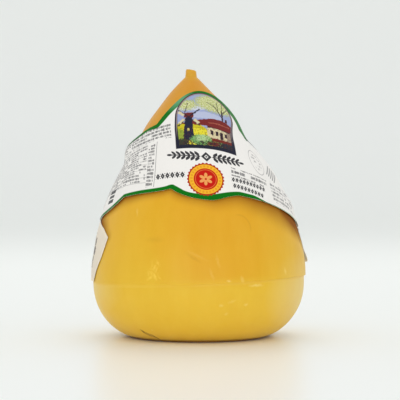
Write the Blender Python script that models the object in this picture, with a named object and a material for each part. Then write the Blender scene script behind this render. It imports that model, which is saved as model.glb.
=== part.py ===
"""A small smoked cheese shaped like a pear or a top, with its two paper labels.

The cheese is one solid, cast in a mould with a round foot and smoothed by hand up to a short knob,
so it has a line where the mould ended and it leans a little. A die-cut label is wrapped round the cone,
and a second, plainer one is stuck round the back below it.
Lengths are in millimetres here and in metres in the model. The front faces -Y and +Z is up.
Azimuth 0 is the middle of the front, and it grows towards +X.
"""
import math

import bmesh
import bpy
from mathutils import Vector

MM = 0.001

# Overall size of the cheese
TOTAL_HEIGHT = 125.0
FOOT_RADIUS = 26.0
FOOT_HEIGHT = 25.4
FOOT_FULLNESS = 1.97
BARREL_RADIUS = 49.15

# The line left by the edge of the mould: higher on the right, and the rind above it stands proud
LINE_HEIGHT = 27.35
LINE_TILT = 1.7
LINE_STEP = 0.4
SHOULDER_RADIUS = 49.55
SHOULDER_SKEW = 0.35
TILT_FADE_HEIGHT = 50.0

# The flank above the line, as two arcs that meet with the same slope
FLANK_JOIN_RADIUS = 25.75
FLANK_JOIN_HEIGHT = 91.2
FLANK_JOIN_ANGLE = 0.606
FLANK_LOWER_HANDLE = 33.0
FLANK_JOIN_HANDLE = 6.5
NECK_RADIUS = 3.08
NECK_HEIGHT = 120.9
NECK_ANGLE = 0.786
NECK_HANDLE = 28.0

# The knob is a short tapered stub, cut off at a slant
KNOB_RADIUS = 2.5
KNOB_TOP_RADIUS = 2.1
KNOB_EDGE = 0.7
KNOB_SLANT = 0.17

# Sideways shift of the body's middle at a few heights, because the cheese leans
LEAN_STATIONS = ((0.0, 0.0), (49.0, 0.0), (73.8, -0.54), (95.7, -2.73), (106.4, -2.48), (115.8, -3.38))

# Number of faces round and up the cheese
SEGMENTS = 56
FOOT_STEPS = 8
FLANK_STEPS = 24
CURVE_SAMPLES = 160
SLOPE_STEP = 0.5

# Paper
PAPER_GAP = 0.35
PAPER_THICKNESS = 0.35

# The cone label is drawn flat, as the cone unrolls: x to the right and y down from the cone's own point
CONE_SINE = 0.555
CONE_POINT_OFFSET = 8.73
NOTCH_LEFT = (-16.8, 34.5)
ARCH_TOP = (5.0, 18.1)
NOTCH_RIGHT = (29.3, 35.0)
WAVE_LEFT = (-37.0, 67.4)
PEAK_LEFT = (-11.7, 71.8)
BELLY_LOW = (5.5, 78.0)
PEAK_RIGHT = (20.2, 73.4)
LABEL_UPPER_ARCS = (
    ((-55.0, 23.8), (-45.0, 26.0), (-27.0, 34.5), NOTCH_LEFT),
    (NOTCH_LEFT, (-12.5, 30.4), (-5.0, 19.4), ARCH_TOP),
    (ARCH_TOP, (12.5, 16.8), (25.5, 23.2), NOTCH_RIGHT),
    (NOTCH_RIGHT, (33.0, 36.5), (45.0, 35.0), (56.9, 24.6)))
LABEL_LOWER_ARCS = (
    ((-79.8, 34.6), (-70.0, 65.0), (-48.6, 70.3), WAVE_LEFT),
    (WAVE_LEFT, (-29.2, 69.9), (-20.0, 72.4), PEAK_LEFT),
    (PEAK_LEFT, (-7.6, 76.0), (-0.8, 78.0), BELLY_LOW),
    (BELLY_LOW, (9.4, 78.4), (14.8, 74.3), PEAK_RIGHT),
    (PEAK_RIGHT, (50.5, 71.4), (76.5, 63.8), (84.0, 36.3)))
# Points of the upper edge and the points of the lower edge that lie straight below them
LABEL_RIBS = ((NOTCH_LEFT, (-33.0, 67.8)), (ARCH_TOP, BELLY_LOW), (NOTCH_RIGHT, (56.0, 65.8)))
WING_CORNER_SHARE = 0.035
WING_CORNER_DEPTH = 0.16
LABEL_COLUMNS = 60
LABEL_ROWS = 7
ARC_STEPS = 24

# The left wing's upper corner has come away from the rind
LIFT_CENTRE = (-36.0, 31.0)
LIFT_REACH = 13.0
LIFT_HEIGHT = 2.6

# The back label, by azimuth in degrees and height: a slanted strip with a corner at each side
BACK_CORNER = (-58.8, 47.2)
BACK_UPPER_EDGE = ((-280.0, 49.6), (-235.0, 49.8), (-84.0, 54.0), (-78.4, 53.4), (-67.5, 50.8), BACK_CORNER)
BACK_TIP = (-265.0, 33.6)
BACK_LOWER_EDGE = (
    (-280.0, 49.6), BACK_TIP, (-200.0, 28.6), (-90.0, 28.3), (-77.0, 28.4), (-64.8, 38.3), (-61.0, 43.2),
    BACK_CORNER)
BACK_TIP_LIFT = 1.7
BACK_TIP_REACH = 9.0
BACK_CORNER_SIZE = 0.5
BACK_END_TRIM = 0.6
BACK_COLUMNS = 44
BACK_ROWS = 4

# The strip's lower edge bulges away from the rind at the left side
BACK_BULGE = 0.6
BACK_BULGE_AZIMUTH = -96.0
BACK_BULGE_SPREAD = 14.0
BACK_BULGE_TOP = 44.0
BACK_BULGE_FADE = 10.0


def bezier(ends_and_handles, steps):
    """Points along one cubic arc given by its end, two handles and other end."""
    start, handle_a, handle_b, end = (Vector(point) for point in ends_and_handles)
    points = []
    for step in range(steps + 1):
        t = step / steps
        u = 1.0 - t
        points.append(u ** 3 * start + 3 * u * u * t * handle_a + 3 * u * t * t * handle_b + t ** 3 * end)
    return points


def between(x, stations):
    """Straight-line reading of a list of (place, value) pairs that rises in place."""
    for (low, value_low), (high, value_high) in zip(stations, stations[1:]):
        if x <= high:
            share = max(0.0, (x - low) / (high - low))
            return value_low + (value_high - value_low) * share
    return stations[-1][1]


def ease(x):
    """A soft step from 0 to 1."""
    x = min(1.0, max(0.0, x))
    return x * x * (3.0 - 2.0 * x)


def flank_curve():
    """Radius and height of the rind from the mould line up to the neck."""
    along = Vector((math.sin(FLANK_JOIN_ANGLE), -math.cos(FLANK_JOIN_ANGLE))) * FLANK_JOIN_HANDLE
    join = Vector((FLANK_JOIN_RADIUS, FLANK_JOIN_HEIGHT))
    shoulder = Vector((SHOULDER_RADIUS, LINE_HEIGHT + LINE_STEP))
    neck = Vector((NECK_RADIUS, NECK_HEIGHT))
    neck_handle = Vector((math.sin(NECK_ANGLE), -math.cos(NECK_ANGLE))) * NECK_HANDLE
    shoulder_handle = Vector((0.0, FLANK_LOWER_HANDLE))
    lower = bezier((shoulder, shoulder + shoulder_handle, join + along, join), CURVE_SAMPLES)
    upper = bezier((join, join - along, neck + neck_handle, neck), CURVE_SAMPLES)
    return lower + upper[1:]


FLANK = flank_curve()
RADIUS_BY_HEIGHT = [(point.y, point.x) for point in FLANK]


def radius_at(height):
    return between(height, RADIUS_BY_HEIGHT)


def heights_by_distance():
    """Height of the rind by the distance down the flank from the neck."""
    table = [(0.0, FLANK[-1].y)]
    for upper, lower in zip(FLANK[::-1], FLANK[-2::-1]):
        table.append((table[-1][0] + (lower - upper).length, lower.y))
    return table


HEIGHT_BY_DISTANCE = heights_by_distance()


def lean_at(height):
    """Sideways shift of the middle, eased between its stations."""
    for (low, value_low), (high, value_high) in zip(LEAN_STATIONS, LEAN_STATIONS[1:]):
        if height <= high:
            share = max(0.0, (height - low) / (high - low))
            return value_low + (value_high - value_low) * 0.5 * (share + ease(share))
    return LEAN_STATIONS[-1][1]


def tilt_fade(height):
    """How much of the line's tilt is felt at a height above it."""
    return 1.0 - ease((height - LINE_HEIGHT) / (TILT_FADE_HEIGHT - LINE_HEIGHT))


def rind_point(azimuth, height, lift=0.0):
    """A point on the rind above the line, or a distance off it, square to the surface."""
    narrowing = radius_at(height - SLOPE_STEP) - radius_at(height + SLOPE_STEP)
    slope = math.atan2(narrowing, 2 * SLOPE_STEP)
    fade = tilt_fade(height)
    radius = radius_at(height) + SHOULDER_SKEW * math.sin(azimuth) * fade + lift * math.cos(slope)
    return Vector((
        radius * math.sin(azimuth) + lean_at(height),
        -radius * math.cos(azimuth),
        height + LINE_TILT * math.sin(azimuth) * fade + lift * math.sin(slope)))


def material(name, colour, roughness):
    """A plain Principled finish."""
    finish = bpy.data.materials.new(name)
    finish.use_nodes = True
    shader = finish.node_tree.nodes["Principled BSDF"]
    shader.inputs["Base Color"].default_value = (*colour, 1.0)
    shader.inputs["Roughness"].default_value = roughness
    shader.inputs["Metallic"].default_value = 0.0
    return finish


def add_object(name, mesh_data, finish):
    """Turn a bmesh in millimetres into a smooth-shaded object in metres."""
    for vertex in mesh_data.verts:
        vertex.co *= MM
    mesh = bpy.data.meshes.new(name)
    mesh_data.to_mesh(mesh)
    mesh_data.free()
    mesh.materials.append(finish)
    mesh.shade_smooth()
    piece = bpy.data.objects.new(name, mesh)
    bpy.context.scene.collection.objects.link(piece)
    return piece


def cheese_profile():
    """Radius and height down the outer side, from the knob's top to the middle of the foot."""
    profile = [(0.0, TOTAL_HEIGHT), (KNOB_TOP_RADIUS - KNOB_EDGE, TOTAL_HEIGHT)]
    profile.append((KNOB_TOP_RADIUS, TOTAL_HEIGHT - KNOB_EDGE))
    profile.append((KNOB_RADIUS, 0.5 * (TOTAL_HEIGHT + NECK_HEIGHT)))
    for step in range(FLANK_STEPS + 1):
        share = step / FLANK_STEPS
        height = between(share * HEIGHT_BY_DISTANCE[-1][0], HEIGHT_BY_DISTANCE)
        profile.append((radius_at(height), height))
    profile.append((BARREL_RADIUS, LINE_HEIGHT))
    for step in range(FOOT_STEPS + 1):
        turn = 0.5 * math.pi * (1.0 - step / FOOT_STEPS)
        across = math.sin(turn) ** (2.0 / FOOT_FULLNESS)
        rise = 1.0 - math.cos(turn) ** (2.0 / FOOT_FULLNESS)
        profile.append((FOOT_RADIUS + (BARREL_RADIUS - FOOT_RADIUS) * across, FOOT_HEIGHT * rise))
    profile.append((0.0, 0.0))
    return profile


def make_cheese():
    """Turn the profile, then give it the tilt of its line, its lean and the slanted knob."""
    shape = bmesh.new()
    points = [shape.verts.new((radius, 0.0, height)) for radius, height in cheese_profile()]
    edges = [shape.edges.new(pair) for pair in zip(points, points[1:])]
    bmesh.ops.spin(
        shape, geom=points + edges, axis=(0, 0, 1), cent=(0, 0, 0),
        angle=2 * math.pi, steps=SEGMENTS, use_merge=True)
    bmesh.ops.remove_doubles(shape, verts=shape.verts, dist=0.001)
    for vertex in shape.verts:
        x, y, height = vertex.co
        side = x / max(math.hypot(x, y), 0.001)
        if height > LINE_HEIGHT + 0.5 * LINE_STEP and height <= NECK_HEIGHT:
            vertex.co = rind_point(math.atan2(x, -y), height)
        elif abs(height - LINE_HEIGHT) < 0.5 * LINE_STEP:
            vertex.co.z += LINE_TILT * side
        elif height > NECK_HEIGHT:
            rise = ease((height - NECK_HEIGHT) / (TOTAL_HEIGHT - NECK_HEIGHT - KNOB_EDGE))
            vertex.co.z -= KNOB_SLANT * (x + KNOB_TOP_RADIUS - KNOB_EDGE) * rise
            vertex.co.x += lean_at(height)
    bmesh.ops.recalc_face_normals(shape, faces=shape.faces)
    return add_object("cheese", shape, material("smoked_rind", (0.72, 0.37, 0.06), 0.38))


def outline_of(arcs):
    """One outline from several arcs, with the shared ends kept once."""
    outline = [Vector(arcs[0][0])]
    for arc in arcs:
        outline += bezier(arc, ARC_STEPS)[1:]
    return outline


def point_along(outline, share):
    """The point at a share of an outline's length."""
    lengths = [0.0]
    for start, end in zip(outline, outline[1:]):
        lengths.append(lengths[-1] + (end - start).length)
    target = share * lengths[-1]
    for index in range(len(outline) - 1):
        if target <= lengths[index + 1]:
            span = max(lengths[index + 1] - lengths[index], 1e-9)
            return outline[index].lerp(outline[index + 1], (target - lengths[index]) / span)
    return outline[-1].copy()


def share_of(outline, point):
    """The share of an outline's length at which it passes nearest to a point."""
    shares = [step / CURVE_SAMPLES for step in range(CURVE_SAMPLES + 1)]
    return min(shares, key=lambda share: (point_along(outline, share) - Vector(point)).length)


def on_cone(flat, lift):
    """Wrap a point of the flat label round the rind."""
    distance = flat.length - CONE_POINT_OFFSET
    height = between(distance, HEIGHT_BY_DISTANCE)
    return rind_point(math.atan2(flat.x, flat.y) / CONE_SINE, height, lift)


def sheet_from_grid(columns, rows, place):
    """A grid with each point moved to place(across, down), both running from 0 to 1."""
    shape = bmesh.new()
    bmesh.ops.create_grid(shape, x_segments=columns, y_segments=rows, size=0.5)
    for vertex in shape.verts:
        vertex.co = place(vertex.co.x + 0.5, 0.5 - vertex.co.y)
    return shape


def thicken(piece):
    """Give a sheet the thickness of its paper, outwards."""
    paper = piece.modifiers.new("paper", "SOLIDIFY")
    paper.thickness = PAPER_THICKNESS * MM
    paper.offset = 1.0


def make_label():
    """The die-cut label: an arch at the front and a wing round each side."""
    upper, lower = outline_of(LABEL_UPPER_ARCS), outline_of(LABEL_LOWER_ARCS)
    matches = [(0.0, 0.0)]
    for top, bottom in LABEL_RIBS:
        matches.append((share_of(upper, top), share_of(lower, bottom)))
    matches.append((1.0, 1.0))

    def place(across, down):
        top = point_along(upper, across)
        bottom = point_along(lower, between(across, matches))
        end = min(1.0, min(across, 1.0 - across) / WING_CORNER_SHARE)
        corner = WING_CORNER_DEPTH * (1.0 - math.sqrt(1.0 - (1.0 - end) ** 2))
        flat = top.lerp(bottom, corner + down * (1.0 - 2 * corner))
        away = (flat - Vector(LIFT_CENTRE)).length / LIFT_REACH
        return on_cone(flat, PAPER_GAP + LIFT_HEIGHT * (1.0 - ease(away)))

    sheet = sheet_from_grid(LABEL_COLUMNS, LABEL_ROWS, place)
    piece = add_object("label", sheet, material("label_paper", (0.82, 0.81, 0.77), 0.5))
    thicken(piece)


def make_back_label():
    """The slanted strip round the back, from its left corner to its free right tip."""
    start, end = BACK_UPPER_EDGE[0][0] + BACK_END_TRIM, BACK_CORNER[0] - BACK_END_TRIM

    def place(across, down):
        azimuth = start + (end - start) * across
        top, bottom = between(azimuth, BACK_UPPER_EDGE), between(azimuth, BACK_LOWER_EDGE)
        middle = 0.5 * (top + bottom)
        top, bottom = max(top, middle + BACK_CORNER_SIZE), min(bottom, middle - BACK_CORNER_SIZE)
        height = top + (bottom - top) * down
        away = math.hypot(azimuth - BACK_TIP[0], height - BACK_TIP[1]) / BACK_TIP_REACH
        bulge = BACK_BULGE * math.exp(-((azimuth - BACK_BULGE_AZIMUTH) / BACK_BULGE_SPREAD) ** 2)
        bulge *= ease((BACK_BULGE_TOP - height) / BACK_BULGE_FADE)
        lift = PAPER_GAP + bulge + BACK_TIP_LIFT * (1.0 - ease(away))
        return rind_point(math.radians(azimuth), height, lift)

    sheet = sheet_from_grid(BACK_COLUMNS, BACK_ROWS, place)
    piece = add_object("back_label", sheet, material("back_paper", (0.75, 0.69, 0.5), 0.55))
    thicken(piece)


def clear_scene():
    for item in list(bpy.data.objects):
        bpy.data.objects.remove(item)


clear_scene()
make_cheese()
make_label()
make_back_label()
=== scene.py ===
"""A small smoked cheese shaped like a pear, with a printed label round its cone and a strip round its back."""
import math

import bpy
import numpy as np
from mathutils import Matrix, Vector


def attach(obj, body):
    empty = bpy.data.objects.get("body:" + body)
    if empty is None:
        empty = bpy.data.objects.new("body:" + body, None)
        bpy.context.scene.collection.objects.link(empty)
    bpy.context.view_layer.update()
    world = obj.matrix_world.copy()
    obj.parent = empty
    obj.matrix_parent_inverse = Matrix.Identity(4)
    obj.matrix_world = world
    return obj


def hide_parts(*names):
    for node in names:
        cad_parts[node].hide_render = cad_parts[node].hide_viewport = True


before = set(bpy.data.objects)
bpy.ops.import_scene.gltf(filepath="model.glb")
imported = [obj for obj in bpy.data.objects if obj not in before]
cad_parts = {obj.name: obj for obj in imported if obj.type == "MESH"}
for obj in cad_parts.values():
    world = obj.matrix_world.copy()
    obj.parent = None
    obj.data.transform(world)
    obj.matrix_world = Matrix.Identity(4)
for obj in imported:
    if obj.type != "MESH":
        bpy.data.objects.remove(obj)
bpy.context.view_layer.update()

# The cheese: one solid of pressed smoked curd with a thin waxy rind.
# It sat in a round mould up to the line low on its side, and the rest was smoothed by hand up to the knob.
# So the line runs a little aslant, the rind above it stands proud, and the whole body leans.

MM = 0.001
TOTAL_HEIGHT = 125.0
FOOT_RADIUS = 26.0
FOOT_HEIGHT = 25.4
FOOT_FULLNESS = 1.97
BARREL_RADIUS = 49.15
LINE_HEIGHT = 27.35
LINE_TILT = 1.7
LINE_STEP = 0.4
SHOULDER_RADIUS = 49.55
SHOULDER_SKEW = 0.35
TILT_FADE_HEIGHT = 50.0
JOIN_RADIUS = 25.75
JOIN_HEIGHT = 91.2
JOIN_ANGLE = 0.606
SHOULDER_REACH = 33.0
JOIN_REACH = 6.5
NECK_RADIUS = 3.08
NECK_HEIGHT = 120.9
NECK_ANGLE = 0.786
NECK_REACH = 28.0
KNOB_SLANT = 0.17
KNOB_RINGS = (
    (2.86, 120.98, 0.0), (2.68, 121.4, 0.0), (2.55, 122.4, 0.3), (2.52, 123.6, 0.8),
    (2.42, 124.2, 1.0), (2.15, 124.55, 1.0), (1.7, 124.7, 1.0), (0.7, 124.76, 1.0))
LEAN_STATIONS = ((0.0, 0.0), (49.0, 0.0), (73.8, -0.54), (95.7, -2.73), (106.4, -2.48), (115.8, -3.38))
CAGE_SEGMENTS = 64
FOOT_RINGS = 10
FLANK_RINGS = 40
STEP_LEFT_IN_FRONT = 0.03
STEP_FADE_HEIGHT = 22.0


def bezier(points, steps=160):
    """Points along one cubic arc given by its end, two handles and other end."""
    start, first, second, end = (Vector(point) for point in points)
    arc = []
    for step in range(steps + 1):
        t = step / steps
        u = 1 - t
        arc.append(u ** 3 * start + 3 * u * u * t * first + 3 * u * t * t * second + t ** 3 * end)
    return arc


def ease(x):
    """A soft step from 0 to 1."""
    x = np.clip(x, 0.0, 1.0)
    return x * x * (3 - 2 * x)


def flank():
    """Radius and height of the rind from the mould line up to the neck, as two arcs that meet smoothly."""
    join = Vector((JOIN_RADIUS, JOIN_HEIGHT))
    along = Vector((math.sin(JOIN_ANGLE), -math.cos(JOIN_ANGLE))) * JOIN_REACH
    shoulder = Vector((SHOULDER_RADIUS, LINE_HEIGHT + LINE_STEP))
    neck = Vector((NECK_RADIUS, NECK_HEIGHT))
    spread = Vector((math.sin(NECK_ANGLE), -math.cos(NECK_ANGLE))) * NECK_REACH
    lower = bezier((shoulder, shoulder + Vector((0, SHOULDER_REACH)), join + along, join))
    return np.array(lower + bezier((join, join - along, neck + spread, neck))[1:])


FLANK = flank()
FLANK_DOWN = FLANK[::-1]
DISTANCE_DOWN = np.concatenate([[0.0], np.cumsum(np.hypot(*np.diff(FLANK_DOWN, axis=0).T))])


def radius_at(height):
    """Radius of the rind above the mould line."""
    return np.interp(height, FLANK[:, 1], FLANK[:, 0])


def lean_at(height):
    """Sideways shift of the body's middle, eased between its stations."""
    places, shifts = np.array(LEAN_STATIONS).T
    index = np.clip(np.searchsorted(places, height) - 1, 0, len(places) - 2)
    share = np.clip((height - places[index]) / (places[index + 1] - places[index]), 0, 1)
    return shifts[index] + (shifts[index + 1] - shifts[index]) * 0.5 * (share + ease(share))


def tilt_fade(height):
    """How much of the mould line's slant a height still has."""
    return 1 - ease((height - LINE_HEIGHT) / (TILT_FADE_HEIGHT - LINE_HEIGHT))


def unevenness(azimuth, height):
    """How far the hand-smoothed rind swells and dips, in millimetres."""
    swell = 0.16 * np.sin(3 * azimuth + height / 17 + 0.6) + 0.12 * np.sin(5 * azimuth - height / 11 + 2.0)
    swell += 0.07 * np.sin(9 * azimuth + height / 6 + 4.1) * np.sin(height / 9)
    return swell * ease(height / 20) * ease((TOTAL_HEIGHT - 8 - height) / 25)


def hollows(azimuth, height):
    """Shallow hollows under the ends of the cone label, where its lower edge stands clear of the rind."""
    right = 0.25 * np.exp(-((azimuth - 1.36) / 0.42) ** 2 - ((height - 57) / 7.5) ** 2)
    left = 0.25 * np.exp(-((azimuth + 1.42) / 0.25) ** 2 - ((height - 55) / 5) ** 2)
    return right + left


def rind_point(azimuth, height, lift=0.0):
    """A point on the rind above the line, or some way off it, square to the surface."""
    slope = np.arctan2(radius_at(height - 0.5) - radius_at(height + 0.5), 1.0)
    fade = tilt_fade(height)
    off = lift + unevenness(azimuth, height)
    radius = radius_at(height) + off * np.cos(slope)
    return np.stack([
        radius * np.sin(azimuth) + lean_at(height) + SHOULDER_SKEW * fade,
        -radius * np.cos(azimuth),
        height + LINE_TILT * np.sin(azimuth) * fade + off * np.sin(slope)], axis=-1)


def start_fresh():
    """Nothing selected, so that the next operator works on the new piece alone."""
    if bpy.context.object and bpy.context.object.mode != "OBJECT":
        bpy.ops.object.mode_set(mode="OBJECT")
    bpy.ops.object.select_all(action="DESELECT")


def body_rings():
    """Radius, height, sideways shift and tilt of each ring of the cage, from the foot up."""
    rings = []
    for step in range(FOOT_RINGS + 1):
        turn = 0.5 * math.pi * step / FOOT_RINGS
        across = math.sin(turn) ** (2 / FOOT_FULLNESS)
        rise = 1 - math.cos(turn) ** (2 / FOOT_FULLNESS)
        rings.append((FOOT_RADIUS + (BARREL_RADIUS - FOOT_RADIUS) * across, FOOT_HEIGHT * rise, 0.0, 0.0))
    tilt = math.asin(LINE_TILT / BARREL_RADIUS)
    for share, height in ((0.0, -0.35), (0.0, -0.05), (1.0, 0.25)):
        radius = BARREL_RADIUS + (SHOULDER_RADIUS - BARREL_RADIUS) * share
        rings.append((radius, LINE_HEIGHT + height, SHOULDER_SKEW * share, tilt))
    distances = np.append(np.linspace(DISTANCE_DOWN[-1], 2.6, FLANK_RINGS), (1.2, 0.5, 0.15))
    for height in np.interp(distances, DISTANCE_DOWN, FLANK_DOWN[:, 1]):
        fade = float(tilt_fade(height))
        shift = float(lean_at(height)) + SHOULDER_SKEW * fade
        rings.append((float(radius_at(height)), float(height), shift, tilt * fade))
    top = float(lean_at(TOTAL_HEIGHT))
    slant = -math.atan(KNOB_SLANT)
    for radius, height, share in KNOB_RINGS:
        rings.append((radius, height, top, slant * share))
    return rings


start_fresh()
rings = body_rings()
bpy.ops.mesh.primitive_circle_add(vertices=CAGE_SEGMENTS, radius=rings[0][0] * MM, fill_type="NOTHING")
cheese = bpy.context.object
cheese.name = "smoked_cheese"
bpy.ops.object.mode_set(mode="EDIT")
bpy.ops.mesh.select_mode(type="EDGE")
bpy.ops.mesh.select_all(action="SELECT")
for (radius, height, shift, tilt), (next_radius, next_height, next_shift, next_tilt) in zip(rings, rings[1:]):
    bpy.ops.mesh.extrude_edges_move(
        TRANSFORM_OT_translate={"value": ((next_shift - shift) * MM, 0, (next_height - height) * MM)})
    middle = (next_shift * MM, 0, next_height * MM)
    grow = next_radius / radius
    bpy.ops.transform.resize(value=(grow, grow, grow), center_override=middle)
    if next_tilt != tilt:
        bpy.ops.transform.rotate(value=next_tilt - tilt, orient_axis="Y", center_override=middle)
bpy.ops.mesh.edge_face_add()
bpy.ops.mesh.select_all(action="DESELECT")
bpy.ops.mesh.select_non_manifold()
bpy.ops.mesh.edge_face_add()
bpy.ops.mesh.select_all(action="SELECT")
bpy.ops.mesh.normals_make_consistent(inside=False)
bpy.ops.object.mode_set(mode="OBJECT")
smooth = cheese.modifiers.new("smooth", "SUBSURF")
smooth.levels = smooth.render_levels = 2
bpy.ops.object.modifier_apply(modifier="smooth")
places = np.empty(len(cheese.data.vertices) * 3)
cheese.data.vertices.foreach_get("co", places)
places = places.reshape(-1, 3)
normals = np.empty(places.size)
cheese.data.vertices.foreach_get("normal", normals)
heights = places[:, 2] / MM
azimuths = np.arctan2(places[:, 0] / MM - lean_at(heights), -places[:, 1] / MM)
swell = unevenness(azimuths, heights) - hollows(azimuths, heights)
# The step at the mould line stays at the sides and dies away in front
over_line = heights - LINE_HEIGHT - LINE_TILT * np.sin(azimuths)
proud = np.hypot(places[:, 0] / MM - lean_at(heights) - 0.5 * SHOULDER_SKEW, places[:, 1] / MM) - BARREL_RADIUS
step_size = SHOULDER_RADIUS - BARREL_RADIUS
share_above = np.where(over_line > 0.8, 1.0, np.clip(proud / step_size, 0, 1) * (over_line > -0.8))
share_above *= 1 - ease(over_line / STEP_FADE_HEIGHT)
swell -= share_above * (step_size - STEP_LEFT_IN_FRONT) * np.clip(np.cos(azimuths) * 1.3, 0, 1) ** 1.5
places += normals.reshape(-1, 3) * swell[:, None] * MM
cheese.data.vertices.foreach_set("co", places.ravel())
bpy.ops.object.shade_smooth()


class Reading:
    """A number, colour or vector that a material's nodes work out, so that sums are written as sums."""

    def __init__(self, tree, socket=None):
        self.tree = tree
        self.socket = socket

    def made(self, kind, settings=None, sockets=None, output=0):
        """Add any node: its settings first, then the values or links of its sockets."""
        node = self.tree.nodes.new(kind)
        for name, value in (settings or {}).items():
            if name == "stops":
                ramp = node.color_ramp
                while len(ramp.elements) < len(value):
                    ramp.elements.new(0.5)
                for element, (place, tone) in zip(ramp.elements, value):
                    element.position = place
                    element.color = tone
            else:
                setattr(node, name, value)
        for key, value in (sockets or {}).items():
            if isinstance(value, Reading):
                self.tree.links.new(value.socket, node.inputs[key])
            else:
                node.inputs[key].default_value = value
        return Reading(self.tree, node.outputs[output])

    def maths(self, operation, *values, clamp=False):
        """One step of number maths on the given values."""
        settings = {"operation": operation, "use_clamp": clamp}
        return self.made("ShaderNodeMath", settings, dict(enumerate(values)))

    def __add__(self, other):
        return self.maths("ADD", self, other)

    __radd__ = __add__

    def __sub__(self, other):
        return self.maths("SUBTRACT", self, other)

    def __rsub__(self, other):
        return self.maths("SUBTRACT", other, self)

    def __mul__(self, other):
        return self.maths("MULTIPLY", self, other)

    __rmul__ = __mul__

    def __truediv__(self, other):
        return self.maths("DIVIDE", self, other)

    def within(self, softness):
        """1 where a signed distance is above 0 and 0 where it is below, with a soft change between."""
        return self.maths("MULTIPLY_ADD", self, 1 / softness, 0.5, clamp=True)

    def clamped(self):
        """This number kept between 0 and 1."""
        return self.maths("ADD", self, 0.0, clamp=True)

    def least(self, other):
        return self.maths("MINIMUM", self, other)

    def most(self, other):
        return self.maths("MAXIMUM", self, other)

    def size(self):
        return self.maths("ABSOLUTE", self)

    def sine(self):
        return self.maths("SINE", self)

    def vector(self, operation, other=(0.0, 0.0, 0.0), output=0):
        """Vector maths between this vector and another."""
        return self.made("ShaderNodeVectorMath", {"operation": operation}, {0: self, 1: other}, output)

    def parts(self):
        """The three numbers of this vector or colour."""
        node = self.made("ShaderNodeSeparateXYZ", sockets={0: self}).socket.node
        return [Reading(self.tree, output) for output in node.outputs]

    def noise(self, scale, detail=2.0, roughness=0.5, output=0):
        """Cloudy noise read at this vector."""
        return self.made("ShaderNodeTexNoise", None, {
            "Vector": self, "Scale": scale, "Detail": detail, "Roughness": roughness}, output)

    def under(self, mask, over):
        """This colour with another laid over it where the mask is 1."""
        return self.made("ShaderNodeMix", {"data_type": "RGBA"}, {0: mask, 6: self, 7: over}, 2)


def colour(red, green, blue):
    """A colour as a screen shows it, from 0 to 255, in the linear numbers that the shader wants."""
    parts = [value / 255 for value in (red, green, blue)]
    linear = [part / 12.92 if part <= 0.04045 else ((part + 0.055) / 1.055) ** 2.4 for part in parts]
    return (*linear, 1.0)


def new_material(name, **constants):
    """A Principled material: its shader node and a reading to start its node maths from."""
    material = bpy.data.materials.new(name)
    material.use_nodes = True
    shader = material.node_tree.nodes["Principled BSDF"]
    for socket, value in constants.items():
        shader.inputs[socket.replace("_", " ")].default_value = value
    return material, shader, Reading(material.node_tree)


def feed(shader, socket, reading):
    """Link a reading to a socket of the material's shader."""
    reading.tree.links.new(reading.socket, shader.inputs[socket])


def plain(start, tone):
    """A steady colour to lay others over."""
    reading = start.made("ShaderNodeRGB")
    reading.socket.default_value = tone
    return reading


def flat_place(across, down):
    """A place on a flat print, in millimetres."""
    return across.made("ShaderNodeCombineXYZ", sockets={0: across, 1: down})


def turned(at, middle, turn=0.0, step=(1.0, 1.0)):
    """A place as seen from a point and a turned direction, counted in steps."""
    return at.made("ShaderNodeMapping", {"vector_type": "TEXTURE"}, {
        "Vector": at, "Location": (*middle, 0.0), "Rotation": (0.0, 0.0, turn), "Scale": (*step, 1.0)})


def disc(at, middle, radius):
    """Distance inside a disc's edge."""
    return radius - at.vector("DISTANCE", (*middle, 0.0), 1)


def oval(at, middle, reach, turn=0.0):
    """Distance inside an oval's edge, from its half sizes."""
    out = turned(at, middle, turn, reach).vector("LENGTH", output=1)
    return out.maths("MULTIPLY_ADD", out, -min(reach), min(reach))


def box(at, middle, sizes, turn=0.0):
    """Distance inside a box's edge, from its full sizes."""
    off = turned(at, middle, turn).vector("ABSOLUTE")
    half = (sizes[0] / 2, sizes[1] / 2, 0.0)
    across, down, _ = off.made("ShaderNodeVectorMath", {"operation": "SUBTRACT"}, {0: half, 1: off}).parts()
    return across.least(down)


def between(first, last):
    """Middle, length and direction of the line from one point to another."""
    run, rise = last[0] - first[0], last[1] - first[1]
    return ((first[0] + last[0]) / 2, (first[1] + last[1]) / 2), math.hypot(run, rise), math.atan2(rise, run)


def stroke(at, first, last, wide):
    """Distance inside a straight stroke with square ends."""
    middle, length, turn = between(first, last)
    return box(at, middle, (length, wide), turn)


def graze(at, first, last, wide):
    """Distance inside a long thin oval from one point to another."""
    middle, length, turn = between(first, last)
    return oval(at, middle, (length / 2 + 0.3, wide / 2), turn)


GIRTH_RADIUS = 48.0

rind, rind_shader, start = new_material(
    "smoked_rind", Metallic=0.0, IOR=1.46, Specular_IOR_Level=0.22, Coat_Roughness=0.25,
    Subsurface_Weight=0.12, Subsurface_Scale=0.004)
rind_shader.inputs["Subsurface Radius"].default_value = (1.0, 0.55, 0.15)
place = start.made("ShaderNodeTexCoord", output=3)
side, behind, up = (part / MM for part in place.parts())
girth = side.maths("ARCTAN2", side, behind * -1) * GIRTH_RADIUS
on_rind = flat_place(girth, up)
above_line = up - LINE_HEIGHT - side * (LINE_TILT / BARREL_RADIUS)
cloud = place.noise(28.0, 3.0)
mottle = place.noise(110.0, 3.0, 0.6)
streaks = start.made("ShaderNodeMapping", sockets={0: place, "Scale": (1.0, 1.0, 0.25)}).noise(90.0, 4.0, 0.6)
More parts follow.
